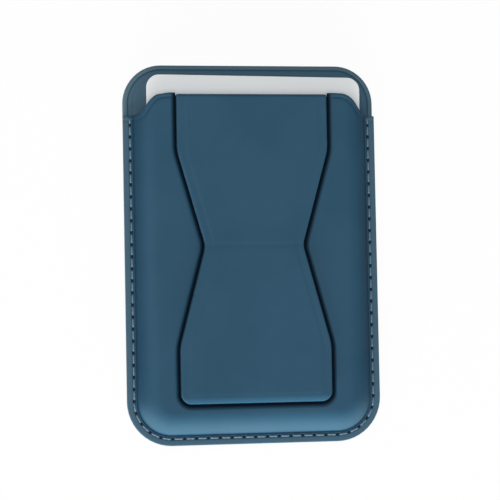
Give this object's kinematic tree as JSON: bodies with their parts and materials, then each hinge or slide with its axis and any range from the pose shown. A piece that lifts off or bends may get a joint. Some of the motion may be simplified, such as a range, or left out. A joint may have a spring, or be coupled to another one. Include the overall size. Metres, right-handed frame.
{
  "type": "magnetic card holder with stand",
  "caption": "Moulded leather card holder with a stitched edge, a magnet ring behind the pocket, a card in its mouth and an hourglass strap that folds out as a stand.",
  "frame": {"origin": "middle of the outline on the back face, which the holder lies on", "axes": "+X across the card, +Y towards the mouth of the pocket, +Z out of the front face"},
  "size_m": [0.0636, 0.0942, 0.0071],
  "materials": {
    "leather": "smooth satin leather, dark petrol blue",
    "lining": "fine microfibre lining",
    "board": "stiff moulded board",
    "magnet": "nickel-plated magnet",
    "steel": "thin steel sheet",
    "card": "plain white satin card",
    "thread": "waxed polyester thread"
  },
  "bodies": {
    "wallet": {"back_cover": "leather", "magnet_carrier": "board", "ring_magnet_01": "magnet", "ring_magnet_02": "magnet", "ring_magnet_03": "magnet", "ring_magnet_04": "magnet", "ring_magnet_05": "magnet", "ring_magnet_06": "magnet", "ring_magnet_07": "magnet", "ring_magnet_08": "magnet", "ring_magnet_09": "magnet", "ring_magnet_10": "magnet", "ring_magnet_11": "magnet", "ring_magnet_12": "magnet", "ring_magnet_13": "magnet", "ring_magnet_14": "magnet", "ring_magnet_15": "magnet", "ring_magnet_16": "magnet", "align_magnet": "magnet", "magnet_shield": "steel", "back_lining": "lining", "card": "card", "front_lining": "lining", "front_board": "board", "catch_plate": "steel", "front_cover": "leather", "thread_front": "thread", "thread_back": "thread", "stand_anchor": "leather"},
    "stand_upper": {"stand_upper_cover": "leather", "stand_upper_plate": "board", "stand_upper_backing": "lining"},
    "stand_lower": {"stand_lower_cover": "leather", "stand_lower_plate": "board", "stand_lower_backing": "lining", "stand_magnet_left": "magnet", "stand_magnet_right": "magnet"}
  },
  "joints": [
    {"name": "stand_lift", "type": "hinge", "parent": "wallet", "child": "stand_upper", "pos_m": [0, 0.0393, 0.0055], "axis": [-1, 0, 0], "range_deg": [0, 60]},
    {"name": "stand_fold", "type": "hinge", "parent": "stand_upper", "child": "stand_lower", "pos_m": [0, 0.002, 0.0055], "axis": [1, 0, 0], "range_deg": [0, 114.46]}
  ],
  "couplings": [
    {"joint": "stand_fold", "follows": "stand_lift", "ratio": 1.9077}
  ]
}
